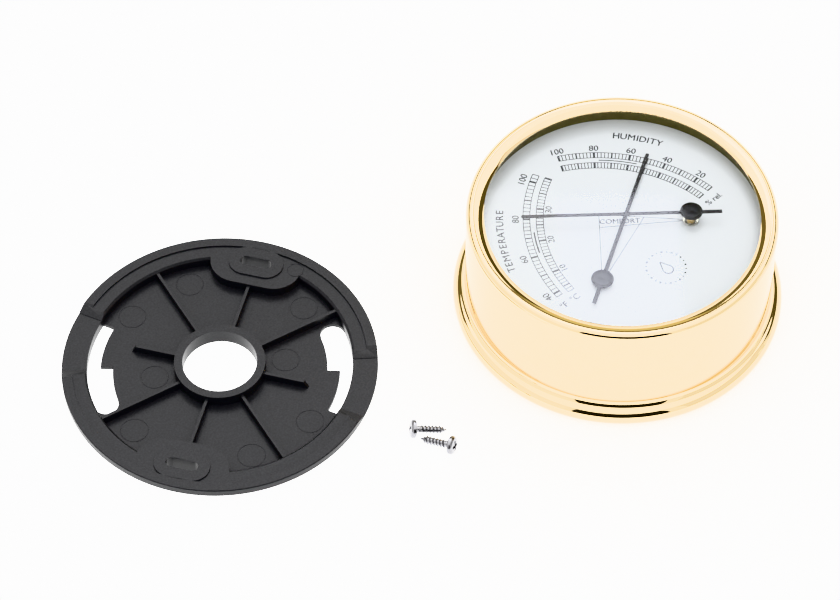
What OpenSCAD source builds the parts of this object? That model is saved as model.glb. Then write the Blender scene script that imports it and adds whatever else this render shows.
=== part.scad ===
// Comfort meter: a dial hygrometer and a dial thermometer with crossing pointers in one
// polished case, shown dial up beside its bayonet wall plate and two wall screws.
// Millimetres. The origin is the centre of the case's back plane. Z points out of the dial,
// Y to the dial's 12 o'clock and X to its 3 o'clock.

/* [Case] */
// Outer radius of the case wall
case_r = 56.4; // [52:0.1:62]
// Thickness of the case sheet
case_t = 1.0; // [0.6:0.1:1.6]
// Height of the bezel crest above the wall plane
case_h = 47.7; // [44:0.1:60]
// Radius of the bezel opening
lip_r = 50.1; // [44:0.1:54]
// Radius of the roll at the flange
roll_r = 3.6; // [2.5:0.1:5]
// Radius of the cove between the flange and the wall
cove_r = 3.0; // [1.5:0.1:5]

/* [Dial] */
// Height of the dial face above the wall plane
dial_z = 38.5; // [34:0.1:40]
// Thickness of the glass
glass_t = 1.5; // [1:0.1:2.5]
// Distance of each pointer pivot from the dial's vertical centre line
pivot_x = 22.0; // [18:0.1:24]
// Distance of the pointer pivots below the dial centre
pivot_y = 13.4; // [8:0.1:16]
// Diameter of the arbors
arbor_d = 1.2; // [1:0.1:1.6]

/* [Pointers] */
// Reading of the humidity pointer in per cent
humidity = 50.6; // [10:0.1:100]
// Reading of the temperature pointer in degrees Fahrenheit
temperature = 77.4; // [38:0.1:104]
// Length of a pointer from its pivot to its tip
pointer_len = 61.8; // [50:0.1:63]
// Length of a pointer's tail
tail_len = 11.2; // [6:0.1:14]
// Width of a pointer
pointer_w = 1.5; // [0.8:0.1:2]
// Diameter of the pointer caps
cap_d = 8.2; // [6:0.1:10]

/* [Wall plate] */
// Outer radius of the wall plate
plate_r = 57.7; // [54:0.1:57.8]
// Overall thickness of the wall plate
plate_h = 6.2; // [5:0.1:7]
// Distance from the plate centre to each screw slot
slot_r = 47.4; // [44:0.1:48]
// Length of a screw slot
slot_len = 12.0; // [8:0.5:14]
// Width of a screw slot
slot_w = 4.0; // [3.6:0.1:5]
// Radius of the hole in the hub
hub_bore_r = 13.6; // [10:0.1:15]
// Centre of the wall plate beside the case, along X
plate_x = -133.1; // [-160:0.1:-125]
// Centre of the wall plate beside the case, along Y
plate_y = 69.7; // [40:0.1:90]
// Direction of the line through the two slots
plate_turn = 34.1; // [0:0.1:90]

/* [Wall screws] */
// Thread diameter of a wall screw
screw_d = 3.5; // [3:0.1:4]
// Length of a wall screw under its head
screw_len = 11.7; // [10:0.1:20]
// Head diameter of a wall screw
screw_head_d = 7.0; // [6:0.1:8]

/* [Hidden] */
$fn = 64;
fine = 128;
eps = 0.01;
seam = 0.3;
fit = 0.05;

// Case section
roll_end = 70;
roll_c = case_r + cove_r - (roll_r + cove_r) * cos(roll_end);
roll_z = roll_r * sin(roll_end);
cove_c = case_r + cove_r;
cove_z = roll_z + (roll_r + cove_r) * sin(roll_end);
wall_in = case_r - case_t;
bezel_r = 2.0;
slope_r = 7.0;
crest_r = case_r - bezel_r;

// Stack from the bezel lip back to the dial
lip_under = case_h - 1.85;
glass_top = lip_under - fit;
glass_z = glass_top - glass_t;
glass_r = wall_in - 0.5;
spacer_top = glass_z - fit;
spacer_in = 52.3;
spacer_out = wall_in - 0.2;
dial_t = 0.8;
dial_r = wall_in - 0.4;

// Movement behind the dial
front_top = dial_z - 7.3;
front_t = 1.2;
rear_top = front_top - 12.2;
rear_t = 1.0;
post_spots = [[-38, -pivot_y], [38, -pivot_y], [0, 0], [0, -2 * pivot_y]];
plate_bar_w = 12;
bush_d = 5.6;
spigot_d = 5.0;
bush_top = dial_z + 0.4;
boss_bottom = front_top - front_t - 2.6;
adjuster_top = front_top - front_t - fit;
adjuster_t = 1.4;
clip_t = 0.6;
coil_z = rear_top + 2.6;
coil_h = 4.5;
coil_t = 0.4;
coil_pitch = 1.7;
coil_halves = 11;
coil_start = 1.5 + fit + coil_t / 2;
coil_end = coil_start + (coil_halves - 1) * coil_pitch / 2;
finger_r = 15;
finger_z = 12.0;

// Pointers
humidity_angle = 5.7 + (humidity - 10) * 0.631;
temperature_angle = 180 - (24.4 + (temperature - 60) * 0.855);
blade_t = 0.35;
humidity_blade_z = dial_z + 1.6;
temperature_blade_z = dial_z + 4.3;
cap_t = 0.85;

// Back cover
cover_z = 6.9;
cover_t = 2.6;
cover_r = wall_in - 0.4;
cover_wall = 2.0;
cover_top = dial_z - dial_t - fit;
lug_spots = [0, 120, 240];
lug_w = 9;
lug_r = 50.2;
hook_half = 10;

// Wall plate, wall side up
plate_floor = 1.5;
plate_step = 0.6;
plate_in = 48.4;
plate_step_r = 53.8;
rib_top = 4.7;
rib_w = 1.2;
hub_r = hub_bore_r + 3.1;
tab_r = 43.8;
cut_r = 39.2;
entry_mid = (plate_in + cut_r) / 2;
entry_w = (plate_in - cut_r) / 2;
entry_end = 132 - asin(entry_w / entry_mid);
low_start = 80.5;
low_end = 107.5;
rim_low = 4.1;
rim_slope = 23;

// Helpers

module disc(r, z0, z1, n = $fn) {
    translate([0, 0, z0]) cylinder(r = r, h = z1 - z0, $fn = n);
}

module tube(r_out, r_in, z0, z1, n = $fn) {
    difference() {
        disc(r_out, z0, z1, n);
        disc(r_in, z0 - 1, z1 + 1, n);
    }
}

module wedge(r, a0, a1) {
    steps = ceil((a1 - a0) / 40);
    fan = [for (i = [0 : steps]) let (a = a0 + (a1 - a0) * i / steps) [r * cos(a), r * sin(a)]];
    polygon(concat([[0, 0]], fan));
}

module sector(r_out, r_in, a0, a1, z0, z1) {
    intersection() {
        tube(r_out, r_in, z0, z1, fine);
        translate([0, 0, z0 - 1]) linear_extrude(z1 - z0 + 2) wedge(1.3 * r_out, a0, a1);
    }
}

module stadium(half_len, half_w, z0, z1) {
    translate([0, 0, z0]) linear_extrude(z1 - z0) {
        square([2 * (half_len - half_w), 2 * half_w], center = true);
        for (s = [-1, 1]) translate([s * (half_len - half_w), 0]) circle(r = half_w);
    }
}

module arc_2d(r_out, r_in, a0, a1) {
    intersection() {
        difference() {
            circle(r = r_out);
            circle(r = r_in);
        }
        wedge(2 * r_out, a0, a1);
    }
}

// Places its child at a pivot: side -1 is humidity, 1 is temperature
module at_pivot(side) {
    translate([side * pivot_x, -pivot_y, 0]) children();
}

// Case

module bezel_2d() {
    intersection() {
        translate([crest_r, case_h - slope_r]) circle(r = slope_r, $fn = fine);
        translate([lip_r, lip_under]) square([crest_r - lip_r, 4]);
    }
    translate([crest_r - eps, lip_under]) square([wall_in - crest_r + 2 * eps, 1]);
    intersection() {
        translate([crest_r, case_h - bezel_r]) circle(r = bezel_r);
        union() {
            translate([crest_r, lip_under]) square(4);
            translate([wall_in, case_h - bezel_r - eps]) square(2);
        }
    }
}

// The pieces overlap by a hair at each tangent point, so that they join into one section
module case_2d() {
    translate([roll_c, roll_z]) arc_2d(roll_r, roll_r - case_t, -roll_end, roll_end + seam);
    translate([cove_c, cove_z]) arc_2d(cove_r + case_t, cove_r, 180 - seam, 180 + roll_end);
    translate([wall_in, cove_z - eps]) square([case_t, case_h - bezel_r - cove_z + 2 * eps]);
    bezel_2d();
}

module case_shell() {
    color("gold") rotate_extrude($fn = 180) case_2d();
}

// Brass blocks soldered inside the wall to take the cover screws
module cover_lugs() {
    z0 = cover_z + cover_t + fit;
    color("goldenrod") for (a = lug_spots) rotate(a) difference() {
        intersection() {
            disc(wall_in, z0, z0 + 5, fine);
            translate([47, -lug_w / 2, z0]) cube([12, lug_w, 5]);
        }
        translate([lug_r, 0, 0]) disc(1.25, z0 - 1, z0 + 6, 24);
    }
}

module glass() {
    color([0.8, 0.9, 0.95, 0.3]) disc(glass_r, glass_z, glass_top, fine);
}

module spacer_ring() {
    color("gold") tube(spacer_out, spacer_in, dial_z, spacer_top, fine);
}

// Dial and movement frame

module dial_plate() {
    color("ivory") difference() {
        disc(dial_r, dial_z - dial_t, dial_z, fine);
        for (s = [-1, 1]) at_pivot(s) disc(bush_d / 2 + 0.2, dial_z - 2, dial_z + 1);
    }
}

module dial_posts() {
    color("goldenrod") for (p = post_spots) translate(p) difference() {
        disc(2.5, front_top, dial_z - dial_t);
        disc(1.3, front_top - 1, front_top + 4.5, 24);
    }
}

module movement_outline() {
    translate([0, -pivot_y]) square([76, plate_bar_w], center = true);
    translate([0, -pivot_y]) square([plate_bar_w, 2 * pivot_y], center = true);
    for (p = post_spots) translate(p) circle(d = plate_bar_w);
}

module front_plate() {
    color("silver") difference() {
        translate([0, 0, front_top - front_t]) linear_extrude(front_t) movement_outline();
        for (p = post_spots) translate(p) disc(1.35, front_top - 3, front_top + 1, 24);
        for (s = [-1, 1]) at_pivot(s) disc(spigot_d / 2, front_top - 3, front_top + 1);
    }
}

module plate_posts() {
    color("goldenrod") for (p = post_spots) translate(p) difference() {
        union() {
            disc(2.5, rear_top, front_top - front_t);
            disc(1.25, front_top - front_t - 1, front_top + 3.5, 24);
        }
        disc(1.05, rear_top - 1, rear_top + 5, 24);
    }
}

module rear_plate() {
    color("silver") difference() {
        translate([0, 0, rear_top - rear_t]) linear_extrude(rear_t) movement_outline();
        for (p = post_spots) translate(p) disc(1.1, rear_top - 3, rear_top + 1, 24);
        for (s = [-1, 1]) at_pivot(s) disc(arbor_d / 2 + fit, rear_top - 3, rear_top + 1, 24);
    }
}

module plate_screws() {
    z = rear_top - rear_t;
    color("silver") for (p = post_spots) translate(p) difference() {
        union() {
            disc(1.0, z - 1, z + 4.5, 24);
            disc(2.0, z - 1.4, z, 32);
        }
        translate([-3, -0.25, z - 2]) cube([6, 0.5, 1.1]);
    }
}

module bushing() {
    difference() {
        union() {
            disc(bush_d / 2, front_top, bush_top);
            disc(spigot_d / 2, boss_bottom, front_top + 1);
        }
        disc(arbor_d / 2 + fit, boss_bottom - 1, bush_top + 1, 24);
    }
}

module humidity_bushing() {
    color("khaki") at_pivot(-1) bushing();
}

module temperature_bushing() {
    color("khaki") at_pivot(1) bushing();
}

// Spring clips that press the adjusters against the front plate
module adjuster_clips() {
    z = adjuster_top - adjuster_t - fit;
    color("silver") for (s = [-1, 1]) at_pivot(s) tube(4.0, spigot_d / 2, z - clip_t, z);
}

// Friction-held ring that carries the coil's outer end, with a finger to turn it from behind
module adjuster() {
    z = adjuster_top - adjuster_t;
    peg = coil_end + coil_t / 2 + 0.8;
    difference() {
        union() {
            disc(5.5, z, adjuster_top);
            translate([-2, -finger_r, z]) cube([4, finger_r, adjuster_t]);
            translate([-peg, -1.5, z]) cube([peg, 3, adjuster_t]);
        }
        disc(spigot_d / 2 + fit, z - 1, adjuster_top + 1);
    }
    translate([-peg, 0, 0]) disc(0.8, coil_z - 0.5, adjuster_top, 24);
    translate([-2, -finger_r - 1, finger_z]) cube([4, 1, adjuster_top - finger_z]);
}

module humidity_adjuster() {
    color("silver") at_pivot(-1) adjuster();
}

module temperature_adjuster() {
    color("silver") at_pivot(1) adjuster();
}

// Flat spiral of half turns struck from two centres half a pitch apart
module coil() {
    translate([0, 0, coil_z]) linear_extrude(coil_h) for (i = [0 : coil_halves - 1]) {
        r = coil_start + i * coil_pitch / 2;
        odd = i % 2;
        translate([-odd * coil_pitch / 2, 0])
            arc_2d(r + coil_t / 2, r - coil_t / 2, odd * 180, odd * 180 + 180);
    }
}

module humidity_coil() {
    color("peru") at_pivot(-1) coil();
}

module temperature_coil() {
    color("steelblue") at_pivot(1) coil();
}

// Pointers

module arbor(top, shoulder_top) {
    disc(arbor_d / 2, rear_top - rear_t - 0.8, top, 24);
    disc(1.5, coil_z - 0.3, coil_z + coil_h + 0.3, 48);
    disc(1.2, bush_top + 0.25, shoulder_top, 32);
}

module humidity_arbor() {
    color("khaki") at_pivot(-1) arbor(humidity_blade_z + 0.9, humidity_blade_z);
}

module temperature_arbor() {
    color("khaki") at_pivot(1) arbor(temperature_blade_z + 0.9, temperature_blade_z);
}

module pointer(z) {
    difference() {
        union() {
            translate([-tail_len, -pointer_w / 2, z])
                cube([tail_len + pointer_len - 3, pointer_w, blade_t]);
            translate([0, 0, z]) linear_extrude(blade_t) polygon([
                [pointer_len - 3, -pointer_w / 2], [pointer_len, 0], [pointer_len - 3, pointer_w / 2]
            ]);
            disc(2.6, z, z + blade_t);
        }
        disc(arbor_d / 2, z - 1, z + 1, 24);
    }
}

module humidity_pointer() {
    color("black") at_pivot(-1) rotate(humidity_angle) pointer(humidity_blade_z);
}

module temperature_pointer() {
    color("black") at_pivot(1) rotate(temperature_angle) pointer(temperature_blade_z);
}

module cap(z) {
    difference() {
        union() {
            disc(cap_d / 2, z, z + 0.5);
            disc(cap_d / 2 - 0.6, z, z + cap_t);
        }
        disc(arbor_d / 2, z - 1, z + 0.6, 24);
    }
}

module humidity_cap() {
    color("black") at_pivot(-1) cap(humidity_blade_z + blade_t);
}

module temperature_cap() {
    color("black") at_pivot(1) cap(temperature_blade_z + blade_t);
}

// Back cover: a cup whose rim holds the dial forward, with two bayonet hooks

module hook(a) {
    sector(48.1, 44.4, a - hook_half, a + hook_half, 2.2, cover_z + 0.5);
    sector(45, 40.3, a - hook_half, a + hook_half, 2.2, 4.4);
}

module back_cover() {
    color([0.15, 0.15, 0.16]) {
        difference() {
            union() {
                disc(cover_r, cover_z, cover_z + cover_t, fine);
                tube(cover_r, cover_r - cover_wall, cover_z + 1, cover_top, fine);
            }
            for (a = lug_spots) rotate(a) {
                translate([46, -lug_w / 2 - 0.5, cover_z + cover_t]) cube([12, lug_w + 1, 6]);
                translate([lug_r, 0, 0]) disc(1.6, cover_z - 1, cover_z + 5, 32);
                translate([lug_r, 0, 0]) disc(3.1, cover_z - 1, cover_z + 1.5, 48);
            }
            for (a = [30 : 60 : 330]) rotate(a) translate([20, 0, 0]) disc(3, cover_z - 1, cover_z + 5, 48);
            for (s = [-1, 1]) translate([s * pivot_x, -pivot_y - finger_r - 0.5, 0])
                stadium(6, 2.5, cover_z - 1, cover_z + cover_t + 1);
        }
        for (a = [89, 269]) hook(a);
    }
}

module cover_screws() {
    color("silver") for (a = lug_spots) rotate(a) translate([lug_r, 0, 0]) difference() {
        union() {
            disc(2.8, cover_z + 0.2, cover_z + 1.45, 48);
            disc(1.2, cover_z + 1, cover_z + 6.5, 24);
        }
        translate([-4, -0.35, cover_z - 0.5]) cube([8, 0.7, 1.3]);
    }
}

// Wall plate, its own frame: centre of the front face, slots along X, wall side up

// Raised pad and boss round a screw slot
module plate_pad() {
    intersection() {
        translate([slot_r, 0, 0]) rotate(90) stadium(17.3, 10.4, 1, plate_h - plate_step);
        disc(plate_step_r - 0.5, 0, plate_h, fine);
    }
    translate([slot_r, 0, 0]) rotate(90) stadium(10.3, 6.3, 1, plate_h);
}

module plate_ribs() {
    for (a = [45, 135, 225, 315]) rotate(a)
        translate([hub_r - 1, -rib_w / 2, 1]) cube([plate_in + 1 - hub_r + 1, rib_w, rib_top - 1]);
    for (a = [0, 180]) rotate(a)
        translate([hub_r - 1, -rib_w / 2, 1]) cube([22, rib_w, rib_top - 1]);
    for (a = [90, 270]) rotate(a) rotate([90, 0, 0]) translate([0, 0, -rib_w / 2])
        linear_extrude(rib_w) polygon([[hub_r - 1, 1], [33.7, 1], [31.9, rib_top], [hub_r - 1, rib_top]]);
}

// Outer ring with its stepped inner edge and the chamfer that clears the case's cove
module plate_ring() {
    rotate_extrude($fn = 180) polygon([
        [plate_in, 0], [54.9, 0], [plate_r, 3.2], [plate_r, plate_h - 0.3], [plate_r - 0.3, plate_h],
        [plate_step_r, plate_h], [plate_step_r, plate_h - plate_step],
        [plate_in + 0.8, plate_h - plate_step], [plate_in, plate_h - plate_step - 0.8]
    ]);
}

// Cuts the slope at one end of the lowered rim: side -1 at its start, 1 at its end
module rim_ramp(side) {
    translate([plate_in - 0.6, 0, rim_low + 0.2]) rotate([side * rim_slope, 0, 0])
        translate([0, side < 0 ? -8 : -0.3, 0]) cube([12, 8.3, 4]);
}

module plate_solid() {
    difference() {
        union() {
            disc(plate_in + 0.5, 0, plate_floor, fine);
            plate_ring();
            disc(hub_r, 0, plate_h);
            plate_ribs();
            for (a = [0, 180]) rotate(a) plate_pad();
        }
        disc(hub_bore_r, -1, plate_h + 1);
        for (a = [0, 180]) rotate(a) {
            translate([slot_r, 0, 0]) rotate(90) stadium(slot_len / 2, slot_w / 2 - eps, -1, plate_h + 1);
            // Bayonet opening: wide entry, then the narrower part beside the tab
            sector(plate_in, tab_r, 79.3, 104, -1, plate_floor + 1);
            sector(plate_in, cut_r, 103.5, entry_end, -1, plate_h + 1);
            rotate(entry_end) translate([entry_mid, 0, 0]) disc(entry_w - 0.15, -1, plate_h + 1, 48);
            // Lowered part of the rim over the opening, with a ramp at each end
            sector(plate_r + 1, plate_in - 0.5, low_start, low_end, rim_low, plate_h + 1);
            rotate(low_start) rim_ramp(-1);
            rotate(low_end) rim_ramp(1);
        }
        for (a = [32.5, -32.5, 147.5, -147.5, 69, -111]) rotate(a)
            translate([40.9, 0, 0]) tube(5.1, 4.9, plate_floor - 0.12, plate_floor + 1, 48);
        for (a = [-66, 114]) rotate(a)
            translate([24.1, 0, 0]) tube(5.1, 4.9, plate_floor - 0.12, plate_floor + 1, 48);
        rotate(-17.5) translate([50.2, 0, 0]) tube(3.1, 2.9, plate_h - plate_step - 0.15, plate_h + 1, 48);
    }
}

module wall_plate() {
    color([0.2, 0.2, 0.21]) translate([plate_x, plate_y, 0]) rotate(plate_turn) plate_solid();
}

// Wall screw with its axis along X: head at the origin's left, tip to the right

module screw_2d() {
    pitch = 1.3;
    core = 1.25;
    turns = floor((screw_len - 3.4) / pitch);
    ridge = [for (i = [0 : turns - 1]) each [
        [core, 1.4 + i * pitch], [screw_d / 2, 1.4 + (i + 0.5) * pitch], [core, 1.4 + (i + 0.9) * pitch]
    ]];
    polygon(concat([[0, -1], [core, -1]], ridge, [[core, screw_len - 1.9], [0, screw_len]]));
}

module wall_screw() {
    rotate([0, 90, 0]) difference() {
        union() {
            rotate_extrude($fn = 40) screw_2d();
            intersection() {
                translate([0, 0, 2.3]) sphere(r = 4.6, $fn = 64);
                disc(screw_head_d / 2, -2.3, 0, 48);
            }
        }
        for (a = [0, 90]) rotate(a + 20) translate([-1.9, -0.4, -3]) cube([3.8, 0.8, 2]);
    }
}

module wall_screws() {
    tilt = atan((screw_head_d - screw_d) / 2 / (screw_len - 2.2));
    rest_z = screw_head_d / 2 * cos(tilt);
    color("lightgray") {
        translate([-98.3, 1.2, rest_z]) rotate([0, 0, -36.2]) rotate([0, tilt, 0]) wall_screw();
        translate([-93.7, -12.1, rest_z]) rotate([0, 0, 116.5]) rotate([0, tilt, 0]) wall_screw();
    }
}

case_shell();
cover_lugs();
glass();
spacer_ring();
dial_plate();
dial_posts();
front_plate();
plate_posts();
rear_plate();
plate_screws();
humidity_bushing();
temperature_bushing();
adjuster_clips();
humidity_adjuster();
temperature_adjuster();
humidity_coil();
temperature_coil();
humidity_arbor();
temperature_arbor();
humidity_pointer();
temperature_pointer();
humidity_cap();
temperature_cap();
back_cover();
cover_screws();
wall_plate();
wall_screws();
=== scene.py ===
"""Looks for the comfort meter, its wall plate and its wall screws. Sizes are in millimetres
in the model's frame, and become metres when a mesh is made."""

import math

import bmesh
import bpy
from mathutils import Matrix, Vector


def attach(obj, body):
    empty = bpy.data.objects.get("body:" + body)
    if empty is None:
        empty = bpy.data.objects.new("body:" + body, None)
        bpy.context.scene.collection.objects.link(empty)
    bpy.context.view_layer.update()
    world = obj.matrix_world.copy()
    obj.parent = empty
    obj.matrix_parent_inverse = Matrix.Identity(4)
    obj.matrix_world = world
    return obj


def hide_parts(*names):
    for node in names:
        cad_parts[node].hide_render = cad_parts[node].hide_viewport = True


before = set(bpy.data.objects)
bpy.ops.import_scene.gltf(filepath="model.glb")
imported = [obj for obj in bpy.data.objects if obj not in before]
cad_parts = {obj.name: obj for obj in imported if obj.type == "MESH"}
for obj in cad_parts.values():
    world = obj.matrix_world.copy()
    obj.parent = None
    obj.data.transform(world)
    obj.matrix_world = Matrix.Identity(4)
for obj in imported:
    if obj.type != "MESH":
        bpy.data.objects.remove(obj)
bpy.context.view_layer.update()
MM = 0.001
# Radius that stands for the axis in a profile
AXIS = 0.001

# Case
CASE_R = 56.4
CASE_T = 1.0
CASE_H = 47.7
LIP_R = 50.1
LIP_UNDER = 45.85
ROLL_R = 3.6
COVE_R = 3.0
ROLL_END = 70
BEZEL_R = 2.0
SLOPE_R = 7.0
WALL_IN = CASE_R - CASE_T
CREST_R = CASE_R - BEZEL_R
ROLL_C = CASE_R + COVE_R - (ROLL_R + COVE_R) * math.cos(math.radians(ROLL_END))
ROLL_Z = ROLL_R * math.sin(math.radians(ROLL_END))
COVE_C = CASE_R + COVE_R
COVE_Z = ROLL_Z + (ROLL_R + COVE_R) * math.sin(math.radians(ROLL_END))

# Dial and glass
DIAL_Z = 38.5
DIAL_R = 55.0
DIAL_T = 0.8
PIVOT_HOLE_R = 3.0
GLASS_Z = 44.3
GLASS_TOP = 45.8
GLASS_R = 54.9
SPACER_IN = 52.3
SPACER_OUT = 55.2
SPACER_Z = 38.52
SPACER_TOP = 44.24

# Pointers
PIVOT_X = 22.0
PIVOT_Y = -13.4
POINTER_LEN = 61.8
TAIL_LEN = 11.2
HUMIDITY_BLADE_Z = 40.1
TEMPERATURE_BLADE_Z = 42.8
BLADE_T = 0.35
BLADE_HALF = 0.75
HUB_R = 2.55
HUB_BORE_R = 0.62
CAP_R = 4.1
CAP_T = 0.85
HUMIDITY_READING = 50.6
TEMPERATURE_READING = 77.4

# Wall screws
SCREW_D = 3.5
SCREW_LEN = 11.7
SCREW_HEAD_R = 3.5
SCREW_CORE_R = 1.2
THREAD_PITCH = 1.3
HEAD_DEPTH = 2.25
RECESS_HALF_LENGTH = 1.95
RECESS_HALF_WIDTH = 0.52
RECESS_TURN = 20

# Print on the dial
INK_Z = DIAL_Z + 0.015
OUTER_BAND = (58.5, 61.0)
INNER_BAND = (53.6, 56.2)
BAND_LINE = 0.3
STRONG_RUNG = 0.85
MEDIUM_RUNG = 0.58
THIN_RUNG = 0.34
NUMBER_HEIGHT = 2.6
WORD_R = 69.4
WORD_HEIGHT = 2.8
COMFORT_ARC_R = 57.35
FIELD_LINE = 0.28
BADGE_Y = -23.5
BADGE_R = 7.2
BADGE_DOTS = 24
# Height of a capital as a share of the type size
CAPITAL = 0.71
# Widths of letters that differ from the others, as a share of theirs
LETTER_WIDTH = {"I": 0.45, "M": 1.2, "T": 0.9, "E": 0.9, "P": 0.95, "A": 0.95, "Y": 0.95}

# Studio, in metres and degrees
DOME_R = 3.0
DOME_STEP = 6
FLOOR_HALF = 6
CAMERA_PITCH = math.radians(52.166)


# ---------------------------------------------------------------- mesh helpers


class Shape:
    """Vertices in millimetres, and faces as tuples of vertex numbers."""

    def __init__(self):
        self.verts = []
        self.faces = []

    def add(self, verts, faces):
        start = len(self.verts)
        self.verts += [tuple(v) for v in verts]
        self.faces += [tuple(start + i for i in f) for f in faces]
        return self

    def moved(self, matrix):
        self.verts = [tuple(matrix @ Vector(v)) for v in self.verts]
        return self


def turn(x, y, angle, z=0.0):
    """A matrix that turns by an angle in degrees about Z, then moves to a place."""
    return Matrix.Translation((x, y, z)) @ Matrix.Rotation(math.radians(angle), 4, "Z")


def arc(cx, cy, r, a0, a1, steps):
    """Points along an arc, from one angle to another in degrees, both ends included."""
    out = []
    for i in range(steps + 1):
        a = math.radians(a0 + (a1 - a0) * i / steps)
        out.append((cx + r * math.cos(a), cy + r * math.sin(a)))
    return out


def lathe(profile, segments, closed=True, shape=None):
    """Turns a profile of (radius, height) points about Z."""
    shape = shape or Shape()
    count = len(profile)
    verts = []
    for i in range(segments):
        a = 2 * math.pi * i / segments
        verts += [(r * math.cos(a), r * math.sin(a), z) for r, z in profile]
    faces = []
    for i in range(segments):
        j = (i + 1) % segments
        for k in range(count if closed else count - 1):
            m = (k + 1) % count
            faces.append((i * count + k, j * count + k, j * count + m, i * count + m))
    return shape.add(verts, faces)


def softened(profile, radius):
    """A closed profile with each corner rounded."""
    steps = 3
    out = []
    count = len(profile)
    for i in range(count):
        p = Vector(profile[i])
        a = Vector(profile[i - 1]) - p
        b = Vector(profile[(i + 1) % count]) - p
        r = min(radius, a.length * 0.45, b.length * 0.45)
        if p.x <= 1e-6 or r < 1e-5:
            out.append(tuple(p))
            continue
        start = p + a.normalized() * r
        end = p + b.normalized() * r
        for k in range(steps + 1):
            t = k / steps
            out.append(tuple(start * (1 - t) ** 2 + p * 2 * t * (1 - t) + end * t * t))
    return out


def plate_shape(outline, z0, z1, edge):
    """A flat piece from an anticlockwise outline, with a small chamfer on both faces."""
    count = len(outline)
    points = [Vector(p) for p in outline]
    inset = []
    for i in range(count):
        a = (points[i] - points[i - 1]).normalized()
        b = (points[(i + 1) % count] - points[i]).normalized()
        normal = Vector((-a.y - b.y, a.x + b.x))
        normal = normal.normalized() / max(0.5, math.sqrt((1 + a.dot(b)) / 2))
        inset.append(points[i] + normal * edge)
    rows = [(inset, z0), (points, z0 + edge), (points, z1 - edge), (inset, z1)]
    verts = [(p.x, p.y, z) for row, z in rows for p in row]
    faces = []
    for r in range(3):
        for i in range(count):
            j = (i + 1) % count
            faces.append((r * count + i, r * count + j, (r + 1) * count + j, (r + 1) * count + i))
    faces.append(tuple(reversed(range(count))))
    faces.append(tuple(3 * count + i for i in range(count)))
    return Shape().add(verts, faces)


def flatten_normals(thing):
    """Large flat faces keep a flat shine beside their small rounded edges."""
    weigh = thing.modifiers.new("shine", "WEIGHTED_NORMAL")
    weigh.weight = 60
    weigh.keep_sharp = True


def make(name, shape, material, body, replaces=(), sharp=32, merge=0.0005):
    """Makes a mesh object and rides it on a body. Points closer than
    merge are joined, and edges steeper than sharp degrees stay crisp."""
    mesh = bpy.data.meshes.new(name)
    mesh.from_pydata([[c * MM for c in v] for v in shape.verts], [], shape.faces)
    mesh.materials.append(material)
    bm = bmesh.new()
    bm.from_mesh(mesh)
    bmesh.ops.remove_doubles(bm, verts=bm.verts, dist=merge * MM)
    bmesh.ops.recalc_face_normals(bm, faces=bm.faces)
    bm.to_mesh(mesh)
    bm.free()
    mesh.polygons.foreach_set("use_smooth", [True] * len(mesh.polygons))
    mesh.set_sharp_from_angle(angle=math.radians(sharp))
    thing = bpy.data.objects.new(name, mesh)
    bpy.context.collection.objects.link(thing)
    flatten_normals(thing)
    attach(thing, body)
    if replaces:
        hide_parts(*replaces)
    return thing


# ---------------------------------------------------------------- materials


def new_material(name):
    material = bpy.data.materials.new(name)
    material.use_nodes = True
    return material, material.node_tree.nodes["Principled BSDF"]


def surface(name, colour, metal=0.0, rough=0.4, spread=0.08, scale=400.0, bump=0.1,
            tint=0.06, stretch=(1, 1, 1), shine=0.5, depth=0.00004):
    """A material whose colour, roughness and height vary with a fine noise."""
    material, shader = new_material(name)
    nodes = material.node_tree.nodes
    links = material.node_tree.links
    shader.inputs["Metallic"].default_value = metal
    shader.inputs["Specular IOR Level"].default_value = shine
    place = nodes.new("ShaderNodeTexCoord")
    mapping = nodes.new("ShaderNodeMapping")
    mapping.inputs["Scale"].default_value = stretch
    links.new(place.outputs["Object"], mapping.inputs["Vector"])
    noise = nodes.new("ShaderNodeTexNoise")
    noise.inputs["Scale"].default_value = scale
    noise.inputs["Detail"].default_value = 5.0
    links.new(mapping.outputs["Vector"], noise.inputs["Vector"])
    ramp = nodes.new("ShaderNodeValToRGB")
    ramp.color_ramp.elements[0].position = 0.3
    ramp.color_ramp.elements[1].position = 0.7
    ramp.color_ramp.elements[0].color = [c * (1 - tint) for c in colour] + [1]
    ramp.color_ramp.elements[1].color = [min(1, c * (1 + tint)) for c in colour] + [1]
    links.new(noise.outputs["Fac"], ramp.inputs["Fac"])
    links.new(ramp.outputs["Color"], shader.inputs["Base Color"])
    levels = nodes.new("ShaderNodeMapRange")
    levels.inputs["To Min"].default_value = max(0.01, rough - spread)
    levels.inputs["To Max"].default_value = rough + spread
    links.new(noise.outputs["Fac"], levels.inputs["Value"])
    links.new(levels.outputs["Result"], shader.inputs["Roughness"])
    relief = nodes.new("ShaderNodeBump")
    relief.inputs["Strength"].default_value = bump
    relief.inputs["Distance"].default_value = depth
    links.new(noise.outputs["Fac"], relief.inputs["Height"])
    links.new(relief.outputs["Normal"], shader.inputs["Normal"])
    return material


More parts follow.
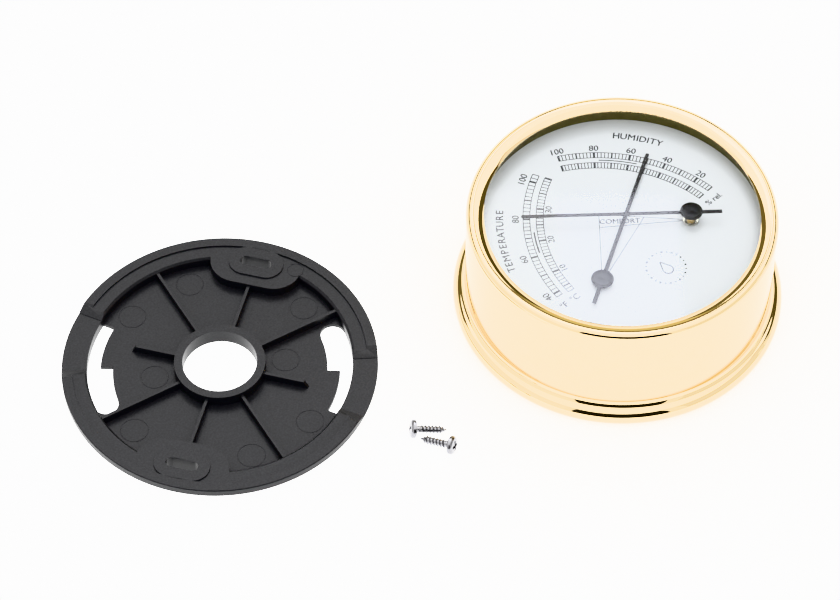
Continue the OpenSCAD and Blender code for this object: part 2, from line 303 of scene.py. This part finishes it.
def clear_glass():
    """Thin window glass: straight light through it, and a mirror on top by angle."""
    material, shader = new_material("clear_glass")
    nodes = material.node_tree.nodes
    links = material.node_tree.links
    nodes.remove(shader)
    out = nodes["Material Output"]
    through = nodes.new("ShaderNodeBsdfTransparent")
    through.inputs["Color"].default_value = (0.985, 0.992, 0.99, 1)
    shine = nodes.new("ShaderNodeBsdfGlossy")
    shine.inputs["Color"].default_value = (1, 1, 1, 1)
    smear = nodes.new("ShaderNodeTexNoise")
    smear.inputs["Scale"].default_value = 60.0
    levels = nodes.new("ShaderNodeMapRange")
    levels.inputs["To Min"].default_value = 0.02
    levels.inputs["To Max"].default_value = 0.07
    links.new(smear.outputs["Fac"], levels.inputs["Value"])
    links.new(levels.outputs["Result"], shine.inputs["Roughness"])
    edge = nodes.new("ShaderNodeFresnel")
    edge.inputs["IOR"].default_value = 1.5
    mix = nodes.new("ShaderNodeMixShader")
    links.new(edge.outputs["Fac"], mix.inputs["Fac"])
    links.new(through.outputs["BSDF"], mix.inputs[1])
    links.new(shine.outputs["BSDF"], mix.inputs[2])
    inside = nodes.new("ShaderNodeNewGeometry")
    side = nodes.new("ShaderNodeMixShader")
    links.new(inside.outputs["Backfacing"], side.inputs["Fac"])
    links.new(mix.outputs["Shader"], side.inputs[1])
    links.new(through.outputs["BSDF"], side.inputs[2])
    links.new(side.outputs["Shader"], out.inputs["Surface"])
    return material


CASE_BRASS = surface("case_brass", (0.96, 0.75, 0.43), metal=1.0, rough=0.045, spread=0.02,
                     scale=180, bump=0.03, tint=0.02, depth=0.00001)
# Brass darkened almost to black: painted shade for the spacer ring, which sits under the bezel lip and
# mirrors dark surroundings
PAINTED_SHADE_BRASS = surface("painted_shade_brass", (0.13, 0.115, 0.055), metal=1.0, rough=0.22, spread=0.06,
                       scale=400, bump=0.05, tint=0.08)
RAW_BRASS = surface("raw_brass", (0.72, 0.53, 0.24), metal=1.0, rough=0.25, spread=0.08,
                    scale=900, bump=0.12, tint=0.05, stretch=(1, 1, 6))
BUSH_NICKEL = surface("bush_nickel", (0.82, 0.8, 0.74), metal=0.85, rough=0.25, spread=0.08,
                      scale=900, bump=0.1, tint=0.04)
GLASS = clear_glass()
DIAL_WHITE = surface("dial_white", (0.84, 0.86, 0.9), rough=0.42, spread=0.06, scale=2500,
                     bump=0.05, tint=0.012, depth=0.00001)
DIAL_INK = surface("dial_ink", (0.022, 0.025, 0.035), rough=0.5, spread=0.08, scale=3000,
                   bump=0.08, tint=0.2, depth=0.00001)
PLATED_STEEL = surface("plated_steel", (0.58, 0.58, 0.56), metal=1.0, rough=0.34, spread=0.1,
                       scale=500, bump=0.15, tint=0.08)
SPRING_STEEL = surface("spring_steel", (0.42, 0.43, 0.46), metal=1.0, rough=0.28, spread=0.1,
                       scale=900, bump=0.12, tint=0.1)
ZINC = surface("zinc_screw", (0.19, 0.19, 0.2), metal=1.0, rough=0.2, spread=0.1, scale=1500,
               bump=0.15, tint=0.1)
HUMIDITY_STRIP = surface("humidity_strip", (0.74, 0.62, 0.4), rough=0.8, spread=0.1,
                         scale=1800, bump=0.3, tint=0.15)
BIMETAL = surface("bimetal_strip", (0.62, 0.46, 0.26), metal=1.0, rough=0.3, spread=0.08,
                  scale=700, bump=0.12, tint=0.1, stretch=(1, 1, 8))
POINTER_BLACK = surface("pointer_black", (0.012, 0.012, 0.016), rough=0.38, spread=0.1,
                        scale=2500, bump=0.1, tint=0.3, shine=0.25)
CAP_BLACK = surface("cap_black", (0.01, 0.01, 0.013), rough=0.16, spread=0.06, scale=1200,
                    bump=0.05, tint=0.3, shine=0.2)
PLASTIC = surface("black_plastic", (0.03, 0.0305, 0.033), rough=0.36, spread=0.1, scale=1500,
                  bump=0.35, tint=0.2, shine=0.16, depth=0.00006)


# ---------------------------------------------------------------- case and glass


def case_profile():
    """Section of the case sheet, up its outside and down its inside."""
    top_a = math.degrees(math.acos((LIP_R - CREST_R) / SLOPE_R))
    outline = arc(ROLL_C, ROLL_Z, ROLL_R, -ROLL_END, ROLL_END, 40)
    outline += arc(COVE_C, COVE_Z, COVE_R, 180 + ROLL_END, 180, 20)[1:]
    outline += [(CASE_R, COVE_Z + (CASE_H - BEZEL_R - COVE_Z) * i / 8) for i in range(1, 8)]
    outline += arc(CREST_R, CASE_H - BEZEL_R, BEZEL_R, 0, 90, 20)
    outline += arc(CREST_R, CASE_H - SLOPE_R, SLOPE_R, 90, top_a, 16)[1:]
    outline += [(LIP_R, LIP_UNDER), (WALL_IN, LIP_UNDER), (WALL_IN, COVE_Z)]
    outline += arc(COVE_C, COVE_Z, COVE_R + CASE_T, 180, 180 + ROLL_END, 12)[1:]
    outline += arc(ROLL_C, ROLL_Z, ROLL_R - CASE_T, ROLL_END, -ROLL_END, 24)[1:]
    return outline


make("case", lathe(case_profile(), 320), CASE_BRASS, "case", ["case_shell"], sharp=50)

glass_corners = [(AXIS, GLASS_TOP), (GLASS_R, GLASS_TOP), (GLASS_R, GLASS_Z), (AXIS, GLASS_Z)]
make("front_glass", lathe(softened(glass_corners, 0.25), 160), GLASS, "case", ["glass"])

spacer_corners = [(SPACER_IN, SPACER_Z), (SPACER_OUT, SPACER_Z), (SPACER_OUT, SPACER_TOP),
                  (SPACER_IN, SPACER_TOP)]
# The spacer ring gets the painted-shade brass, dark as if in the bezel's shadow
make("dial_spacer", lathe(softened(spacer_corners, 0.3), 192), PAINTED_SHADE_BRASS, "case",
     ["spacer_ring"])


# ---------------------------------------------------------------- dial


def dial_with_holes():
    """The dial plate: a disc with a hole at each pivot, filled with triangles between its rim
    and the holes, and closed by walls."""
    bm = bmesh.new()
    loops = [(0, 0, DIAL_R, 192)]
    loops += [(side * PIVOT_X, PIVOT_Y, PIVOT_HOLE_R, 48) for side in (-1, 1)]
    edges = []
    for cx, cy, r, n in loops:
        ring = [bm.verts.new((x, y, DIAL_Z)) for x, y in arc(cx, cy, r, 0, 360 - 360 / n, n - 1)]
        edges += [bm.edges.new((ring[i], ring[(i + 1) % n])) for i in range(n)]
    bmesh.ops.triangle_fill(bm, edges=edges, use_beauty=True, use_dissolve=False)
    for face in list(bm.faces):
        middle = face.calc_center_median()
        if any((middle.x - cx) ** 2 + (middle.y - cy) ** 2 < r * r * 0.9 for cx, cy, r, n in loops[1:]):
            bm.faces.remove(face)
    bm.faces.ensure_lookup_table()
    bm.verts.index_update()
    verts = [tuple(v.co) for v in bm.verts]
    faces = [tuple(v.index for v in f.verts) for f in bm.faces]
    bm.free()
    under = [(x, y, z - DIAL_T) for x, y, z in verts]
    shape = Shape().add(verts, faces)
    shape.add(under, [tuple(reversed(f)) for f in faces])
    for cx, cy, r, n in loops:
        ring = arc(cx, cy, r, 0, 360 - 360 / n, n - 1)
        wall = [(x, y, DIAL_Z) for x, y in ring] + [(x, y, DIAL_Z - DIAL_T) for x, y in ring]
        shape.add(wall, [(i, (i + 1) % n, n + (i + 1) % n, n + i) for i in range(n)])
    return shape


def ink_strip(shape, points, width):
    """A printed line of one width along a list of points."""
    rows = []
    for i, p in enumerate(points):
        a = Vector(points[max(i - 1, 0)])
        b = Vector(points[min(i + 1, len(points) - 1)])
        side = (b - a).normalized()
        side = Vector((-side.y, side.x)) * width / 2
        p = Vector(p)
        rows += [(p.x + side.x, p.y + side.y, INK_Z), (p.x - side.x, p.y - side.y, INK_Z)]
    faces = [(2 * i, 2 * i + 1, 2 * i + 3, 2 * i + 2) for i in range(len(points) - 1)]
    shape.add(rows, faces)


def ink_text(shape, words, x, y, angle, height):
    """Printed words centred on a place, with their baseline turned by an angle."""
    curve = bpy.data.curves.new("lettering", "FONT")
    curve.body = words
    curve.size = height / CAPITAL
    curve.align_x = "CENTER"
    curve.align_y = "CENTER"
    curve.resolution_u = 3
    holder = bpy.data.objects.new("lettering", curve)
    bpy.context.collection.objects.link(holder)
    graph = bpy.context.evaluated_depsgraph_get()
    mesh = bpy.data.meshes.new_from_object(holder.evaluated_get(graph))
    # Two prints a hair apart make the strokes bold
    for shift, lift in ((-0.08, 0.0), (0.08, 0.004)):
        matrix = turn(x, y, angle, INK_Z + lift) @ Matrix.Translation((shift, shift * 0.8, 0))
        verts = [tuple(matrix @ Vector((v.co.x, v.co.y, 0))) for v in mesh.vertices]
        shape.add(verts, [tuple(p.vertices) for p in mesh.polygons])
    bpy.data.objects.remove(holder)
    bpy.data.curves.remove(curve)
    bpy.data.meshes.remove(mesh)


def ink_arc_text(shape, words, side, middle, pitch):
    """Words along an arc round a pivot. side is -1 for humidity and 1 for temperature."""
    widths = [LETTER_WIDTH.get(letter, 1.0) for letter in words]
    for i, letter in enumerate(words):
        centre = sum(widths[:i]) + widths[i] / 2 - sum(widths) / 2
        step = math.degrees(pitch / WORD_R) * centre
        if side < 0:
            a = middle - step
            direction = a
        else:
            a = middle + step
            direction = 180 - a
        x, y = at_pivot(side, WORD_R, direction)
        ink_text(shape, letter, x, y, direction - 90, WORD_HEIGHT)


def at_pivot(side, radius, direction):
    """A place at a radius and a direction in degrees from one of the pivots."""
    a = math.radians(direction)
    return (side * PIVOT_X + radius * math.cos(a), PIVOT_Y + radius * math.sin(a))


def ink_band(shape, side, band, first, last, step, angle_of, width_of):
    """A ladder scale: two arcs with a rung between them at every step of the reading."""
    def direction(value):
        a = angle_of(value)
        return a if side < 0 else 180 - a

    for r in band:
        points = arc(side * PIVOT_X, PIVOT_Y, r, direction(first), direction(last), 60)
        ink_strip(shape, points, BAND_LINE)
    overhang = 0.09
    for i in range(round((last - first) / step) + 1):
        value = first + i * step
        d = direction(value)
        ends = [at_pivot(side, band[0] - overhang, d), at_pivot(side, band[1] + overhang, d)]
        ink_strip(shape, ends, width_of(value))


def humidity_angle(value):
    return 5.7 + (value - 10) * 0.631


def fahrenheit_angle(value):
    return 24.4 + (value - 60) * 0.855


def celsius_angle(value):
    return 15.85 + (value - 10) * 1.535


def rung_width(strong, medium):
    """Gives the rungs at multiples of strong and of medium their wider strokes."""
    def choose(value):
        if value % strong == 0:
            return STRONG_RUNG
        if value % medium == 0:
            return MEDIUM_RUNG
        return THIN_RUNG
    return choose


def dial_print():
    """All the print on the dial, as one flat shape just above it."""
    ink = Shape()
    for band in (OUTER_BAND, INNER_BAND):
        ink_band(ink, -1, band, 10, 100, 2, humidity_angle, rung_width(20, 10))
    ink_band(ink, 1, OUTER_BAND, 38, 104, 2, fahrenheit_angle, rung_width(20, 10))
    ink_band(ink, 1, INNER_BAND, 3, 40, 1, celsius_angle, rung_width(10, 5))
    for value in (20, 40, 60, 80, 100):
        d = humidity_angle(value)
        ink_text(ink, str(value), *at_pivot(-1, 63.0, d), d - 90, NUMBER_HEIGHT)
    for value in (40, 60, 80, 100):
        d = 180 - fahrenheit_angle(value)
        ink_text(ink, str(value), *at_pivot(1, 63.6, d), d - 90, NUMBER_HEIGHT)
    for value in (10, 20, 30):
        d = 180 - celsius_angle(value)
        ink_text(ink, str(value), *at_pivot(1, 51.7, d), d - 90, 2.4)
    ink_arc_text(ink, "HUMIDITY", -1, 36.0, 2.72)
    ink_arc_text(ink, "TEMPERATURE", 1, 33.0, 2.78)
    ink_text(ink, "% rel.", 35.2, -11.9, 0, 2.3)
    ink_text(ink, "°F", -39.2, -12.0, 0, 2.5)
    ink_text(ink, "°C", -34.0, -12.0, 0, 2.5)
    # Comfort range beside each scale
    ink_strip(ink, arc(-PIVOT_X, PIVOT_Y, COMFORT_ARC_R, 34.2, 48.3, 24), 0.45)
    ink_strip(ink, arc(PIVOT_X, PIVOT_Y, COMFORT_ARC_R, 180 - 25.7, 180 - 35.5, 24), 0.6)
    # Lines from the pivots that enclose the comfort field
    corner_a = (-1.4, 10.5)
    corner_b = (-5.2, 5.7)
    corner_c = (10.4, -1.2)
    for side, radius, direction, corner in (
        (-1, 4.6, 48.9, corner_a),
        (-1, 5.6, 20.6, corner_c),
        (1, 3.3, 134.2, corner_a),
        (1, 3.3, 144.8, corner_b),
    ):
        ink_strip(ink, [at_pivot(side, radius, direction), corner], FIELD_LINE)
    ink_text(ink, "COMFORT", 2.1, 3.1, -39, 2.2)
    # Small drop in a dotted ring
    for i, (x, y) in enumerate(arc(0, BADGE_Y, BADGE_R, 0, 360, BADGE_DOTS)[:-1]):
        dot = arc(x, y, 0.3 if i % 2 else 0.42, 0, 315, 7)
        ink.add([(px, py, INK_Z) for px, py in dot], [tuple(range(len(dot)))])
    drop_tip = (0, -20.2)
    drop = [drop_tip] + arc(0, -24.6, 1.9, 30, -210, 24) + [drop_tip]
    ink_strip(ink, drop, 0.45)
    return ink


make("dial", dial_with_holes(), DIAL_WHITE, "case", ["dial_plate"])
make("dial_marks", dial_print(), DIAL_INK, "case", merge=0.00001)


# ---------------------------------------------------------------- pointers


def blade(z):
    """A flat blade with a narrow square tip and a plain tail, and a round hub with a bore."""
    half = BLADE_HALF
    outline = [(-TAIL_LEN, -half), (POINTER_LEN - 0.4, -half * 0.9), (POINTER_LEN, -half * 0.55),
               (POINTER_LEN, half * 0.55), (POINTER_LEN - 0.4, half * 0.9), (-TAIL_LEN, half)]
    shape = plate_shape(outline, z, z + BLADE_T, 0.06)
    low = z - 0.02
    top = z + BLADE_T
    hub = softened([(HUB_BORE_R, low), (HUB_R, low), (HUB_R, top), (HUB_BORE_R, top)], 0.08)
    return lathe(hub, 64, shape=shape)


def cap(z):
    """A stepped round cap."""
    profile = [(AXIS, z + CAP_T), (3.35, z + CAP_T), (3.5, z + 0.55), (CAP_R, z + 0.5), (CAP_R, z),
               (AXIS, z)]
    return lathe(softened(profile, 0.14), 96)


def arbor(top, shoulder_top):
    """A shaft with a hub for the coil and a shoulder under the pointer."""
    shape = Shape()
    for r, z0, z1 in ((0.6, 17.2, top), (1.5, 21.3, 26.4), (1.2, 39.15, shoulder_top)):
        lathe(softened([(AXIS, z1), (r, z1), (r, z0), (AXIS, z0)], 0.1), 48, shape=shape)
    return shape


for side, word, z, angle in (
    (-1, "humidity", HUMIDITY_BLADE_Z, humidity_angle(HUMIDITY_READING)),
    (1, "temperature", TEMPERATURE_BLADE_Z, 180 - fahrenheit_angle(TEMPERATURE_READING)),
):
    place = turn(side * PIVOT_X, PIVOT_Y, 0)
    body = word + "_hand"
    needle = blade(z).moved(turn(side * PIVOT_X, PIVOT_Y, angle))
    make(word + "_needle", needle, POINTER_BLACK, body, [word + "_pointer"])
    make(word + "_boss", cap(z + BLADE_T).moved(place), CAP_BLACK, body, [word + "_cap"])
    make(word + "_shaft", arbor(z + 0.9, z).moved(place), RAW_BRASS, body, [word + "_arbor"])
    collar = [(0.65, 38.9), (2.8, 38.9), (2.8, 31.2), (2.5, 31.2), (2.5, 27.4), (0.65, 27.4)]
    bush = lathe(softened(collar, 0.15), 72).moved(place)
    make(word + "_collar", bush, BUSH_NICKEL, "case", [word + "_bushing"])


# ---------------------------------------------------------------- wall screws


def screw():
    """A wall screw along +Z: head below zero, point at the top, with one helical thread."""
    shape = Shape()
    around = 28
    rise = 96
    point_len = 2.6
    ridge_half = 0.24
    verts = []
    for k in range(rise + 1):
        z = SCREW_LEN * k / rise
        taper = min(1.0, (SCREW_LEN - z) / point_len + 0.02)
        start = min(1.0, max(0.0, (z - 1.0) / 0.8))
        for i in range(around):
            a = 2 * math.pi * i / around
            phase = ((z - 1.1) / THREAD_PITCH - i / around) % 1.0
            ridge = max(0.0, 1 - abs(phase - 0.5) / ridge_half)
            height = (SCREW_D / 2 - SCREW_CORE_R) * ridge * start * min(1.0, taper * 1.3)
            r = SCREW_CORE_R * taper + height
            verts.append((r * math.cos(a), r * math.sin(a), z))
    faces = []
    for k in range(rise):
        for i in range(around):
            j = (i + 1) % around
            faces.append((k * around + i, k * around + j, (k + 1) * around + j, (k + 1) * around + i))
    faces.append(tuple(rise * around + i for i in range(around)))
    shape.add(verts, faces)

    # Pan head on a polar grid, pressed in where the cross recess is
    spokes = 96
    rings = 26
    radii = [SCREW_HEAD_R * (i / rings) for i in range(rings + 1)]
    head = []
    for r in radii:
        for i in range(spokes):
            a = 2 * math.pi * i / spokes
            x, y = r * math.cos(a), r * math.sin(a)
            top = -HEAD_DEPTH + 0.5 * (r / SCREW_HEAD_R) ** 2 + 0.55 * max(0.0, (r - 2.6) / 0.9) ** 2
            reach = max(abs(x), abs(y))
            width = min(abs(x), abs(y))
            side_wall = min(1.0, max(0.0, (RECESS_HALF_WIDTH - width) / 0.14))
            end_wall = min(1.0, max(0.0, (RECESS_HALF_LENGTH - reach) / 0.3))
            depth = 1.5 * (side_wall * end_wall) * (1 - 0.35 * reach / RECESS_HALF_LENGTH)
            head.append((x, y, top + depth))
    ring_faces = []
    for k in range(rings):
        for i in range(spokes):
            j = (i + 1) % spokes
            ring_faces.append((k * spokes + i, (k + 1) * spokes + i, (k + 1) * spokes + j, k * spokes + j))
    shape.add(head, ring_faces)
    under = [(SCREW_HEAD_R, -1.2), (3.45, -0.25), (3.2, 0.0), (1.0, 0.0)]
    lathe(under, spokes, closed=False, shape=shape)
    return shape


def place_screw(x, y, angle):
    """A screw lying on the floor on its head's rim and its thread, turned by an angle."""
    tilt = math.atan((SCREW_HEAD_R - SCREW_D / 2) / (SCREW_LEN - 2.2))
    height = SCREW_HEAD_R * math.cos(tilt)
    matrix = turn(x, y, angle, height) @ Matrix.Rotation(math.pi / 2 + tilt, 4, "Y")
    return screw().moved(matrix @ Matrix.Rotation(math.radians(RECESS_TURN), 4, "Z"))


for name, x, y, angle in (("wall_screw_a", -98.3, 1.2, -36.2), ("wall_screw_b", -93.7, -12.1, 116.5)):
    make(name, place_screw(x, y, angle), ZINC, "wall_screws", ["wall_screws"], sharp=40)


# ---------------------------------------------------------------- pieces from the CAD solids


def rounded_copy(node, name, material, body, width):
    """A copy of a CAD solid with clean flat faces and rounded edges."""
    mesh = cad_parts[node].data.copy()
    bm = bmesh.new()
    bm.from_mesh(mesh)
    bmesh.ops.remove_doubles(bm, verts=bm.verts, dist=0.000002)
    flat_angle = math.radians(0.05)
    bmesh.ops.dissolve_limit(bm, angle_limit=flat_angle, verts=bm.verts, edges=bm.edges)
    bm.to_mesh(mesh)
    bm.free()
    mesh.materials.clear()
    mesh.materials.append(material)
    mesh.polygons.foreach_set("material_index", [0] * len(mesh.polygons))
    mesh.polygons.foreach_set("use_smooth", [True] * len(mesh.polygons))
    thing = bpy.data.objects.new(name, mesh)
    bpy.context.collection.objects.link(thing)
    bevel = thing.modifiers.new("edges", "BEVEL")
    bevel.width = width * MM
    bevel.segments = 2
    bevel.limit_method = "ANGLE"
    bevel.angle_limit = math.radians(28)
    flatten_normals(thing)
    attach(thing, body)
    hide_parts(node)
    return thing


rounded_copy("wall_plate", "bayonet_plate", PLASTIC, "wall_plate", 0.25)
rounded_copy("back_cover", "rear_cup", PLASTIC, "case", 0.2)

# CAD solids that keep their shape and get a material
CARRIED = {
    "cover_lugs": RAW_BRASS,
    "dial_posts": RAW_BRASS,
    "plate_posts": RAW_BRASS,
    "front_plate": PLATED_STEEL,
    "rear_plate": PLATED_STEEL,
    "humidity_adjuster": PLATED_STEEL,
    "temperature_adjuster": PLATED_STEEL,
    "adjuster_clips": SPRING_STEEL,
    "plate_screws": ZINC,
    "cover_screws": ZINC,
    "humidity_coil": HUMIDITY_STRIP,
    "temperature_coil": BIMETAL,
}
for node, material in CARRIED.items():
    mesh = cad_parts[node].data
    mesh.materials.clear()
    mesh.materials.append(material)


# ---------------------------------------------------------------- studio


def facing(direction):
    """The turn that points a lamp or a camera along a direction."""
    return direction.to_track_quat("-Z", "Y").to_euler()


def card(name, place, size, power, colour=(1, 1, 1)):
    """A rectangular light at a place in metres, facing straight down."""
    light = bpy.data.lights.new(name, "AREA")
    light.shape = "RECTANGLE"
    light.size, light.size_y = size
    light.energy = power
    light.color = colour
    holder = bpy.data.objects.new(name, light)
    bpy.context.collection.objects.link(holder)
    holder.location = place
    return holder


def glow(name, colour, strength, base=0.0, rough=1.0):
    """A matt material that shines evenly."""
    material, shader = new_material(name)
    shader.inputs["Base Color"].default_value = (base, base, base, 1)
    shader.inputs["Roughness"].default_value = rough
    shader.inputs["Specular IOR Level"].default_value = 0.0
    shader.inputs["Emission Color"].default_value = (*colour, 1)
    shader.inputs["Emission Strength"].default_value = strength
    return material


def reflected(name, azimuths, elevations, strength, colour):
    """Part of a dome that only shiny surfaces see. Azimuth 0 is straight ahead of the camera
    and 90 is to its right."""
    columns = max(2, round((azimuths[1] - azimuths[0]) / DOME_STEP))
    rows = max(2, round((elevations[1] - elevations[0]) / DOME_STEP))
    verts = []
    for j in range(rows + 1):
        el = math.radians(elevations[0] + (elevations[1] - elevations[0]) * j / rows)
        for i in range(columns + 1):
            az = math.radians(azimuths[0] + (azimuths[1] - azimuths[0]) * i / columns)
            right = DOME_R * math.cos(el) * math.sin(az)
            ahead = DOME_R * math.cos(el) * math.cos(az)
            verts.append(studio(right, ahead, DOME_R * math.sin(el)))
    step = columns + 1
    faces = [(j * step + i, j * step + i + 1, (j + 1) * step + i + 1, (j + 1) * step + i)
             for j in range(rows) for i in range(columns)]
    mesh = bpy.data.meshes.new(name)
    mesh.from_pydata(verts, [], faces)
    mesh.materials.append(glow("glow", colour, strength))
    thing = bpy.data.objects.new(name, mesh)
    bpy.context.collection.objects.link(thing)
    thing.visible_camera = False
    thing.visible_shadow = False
    thing.visible_diffuse = False
    thing.visible_transmission = False
    return thing


# The camera looks along "ahead" over the floor; "right" is its own right
AHEAD = Vector((0.6600, 0.7513, 0))
RIGHT = Vector((0.7513, -0.6600, 0))


def studio(right, ahead, up):
    """A place in metres, measured from the case as the camera sees it."""
    return tuple(RIGHT * right + AHEAD * ahead + Vector((0, 0, up)))


floor_mesh = bpy.data.meshes.new("floor")
floor_corners = [(x * FLOOR_HALF, y * FLOOR_HALF, 0) for x, y in ((-1, -1), (1, -1), (1, 1), (-1, 1))]
floor_mesh.from_pydata(floor_corners, [], [(0, 1, 2, 3)])
floor_mesh.materials.append(glow("floor", (1, 1, 1), 3.0, base=0.8, rough=0.9))
floor = bpy.data.objects.new("floor", floor_mesh)
bpy.context.collection.objects.link(floor)
floor.visible_diffuse = False

camera_data = bpy.data.cameras.new("camera")
camera_data.lens = 155.43
camera_data.sensor_width = 36.0
camera_data.clip_start = 0.05
camera_data.clip_end = 30.0
camera = bpy.data.objects.new("camera", camera_data)
bpy.context.collection.objects.link(camera)
camera.location = studio(-0.07308, -0.82773, 1.06249)
sight = AHEAD * math.cos(CAMERA_PITCH) + Vector((0, 0, -math.sin(CAMERA_PITCH)))
camera.rotation_euler = facing(sight)
bpy.context.scene.camera = camera

world = bpy.data.worlds.new("studio")
world.use_nodes = True
sky = world.node_tree.nodes["Background"]
sky.inputs["Color"].default_value = (1.0, 1.0, 1.0, 1)
sky.inputs["Strength"].default_value = 0.6
bpy.context.scene.world = world
bpy.context.scene.view_settings.view_transform = "Khronos PBR Neutral"

# Two flat lights whose edges show across the glass
ACROSS = math.atan2(AHEAD.y, AHEAD.x) - math.pi / 2
for name, right, ahead, size, power, colour in (
    ("strip", 0.086, 0.843, (0.1, 0.4), 0.9, (0.93, 0.96, 1.12)),
    ("side_strip", -0.164, 0.75, (0.4, 0.6), 2.75, (1, 1, 1.04)),
):
    lamp = card(name, studio(right, ahead, 1.3), size, power, colour)
    lamp.rotation_euler = (0, 0, ACROSS)

# Soft lights, aimed at the case, that mirrors don't see
for name, place, size, power in (
    ("overhead", studio(-0.1, 0.0, 1.6), (1.6, 1.6), 11),
    ("front", studio(0.3, -1.2, 1.3), (1.0, 0.8), 7),
):
    lamp = card(name, place, size, power)
    lamp.rotation_euler = facing(-Vector(place))
    lamp.visible_glossy = False

# What the polished case mirrors: bright ceiling, a dim gap that keeps the glass clear, and
# darker walls low down
WARM = (1.0, 0.985, 0.97)
OLIVE = (1.0, 0.9, 0.55)
for name, azimuths, elevations, strength, colour in (
    ("ceiling_back", (-70, -4), (38, 90), 4.5, WARM),
    ("ceiling_middle", (-4, 14), (58, 90), 4.5, WARM),
    ("ceiling_right", (14, 70), (38, 90), 4.5, WARM),
    ("ceiling_front", (70, 290), (48, 90), 3.6, WARM),
    ("dark_glass", (-4, 14), (38, 58), 0.3, OLIVE),
    ("dark_left", (-70, -4), (17, 38), 0.2, OLIVE),
    ("gold_middle", (-4, 14), (17, 38), 0.8, OLIVE),
    ("dark_right", (14, 75), (17, 38), 0.12, OLIVE),
    ("low_back", (-90, 90), (0, 17), 2.4, WARM),
    ("side_left", (-150, -70), (17, 48), 2.2, WARM),
    ("side_right", (75, 140), (0, 48), 1.2, WARM),
    ("low_left", (-150, -90), (0, 17), 2.2, WARM),
    ("camera_side", (150, 206), (0, 46), 0.02, WARM),
    ("front_right", (140, 150), (0, 48), 2.0, WARM),
    ("front_left", (206, 212), (0, 48), 2.0, WARM),
):
    reflected(name, azimuths, elevations, strength, colour)
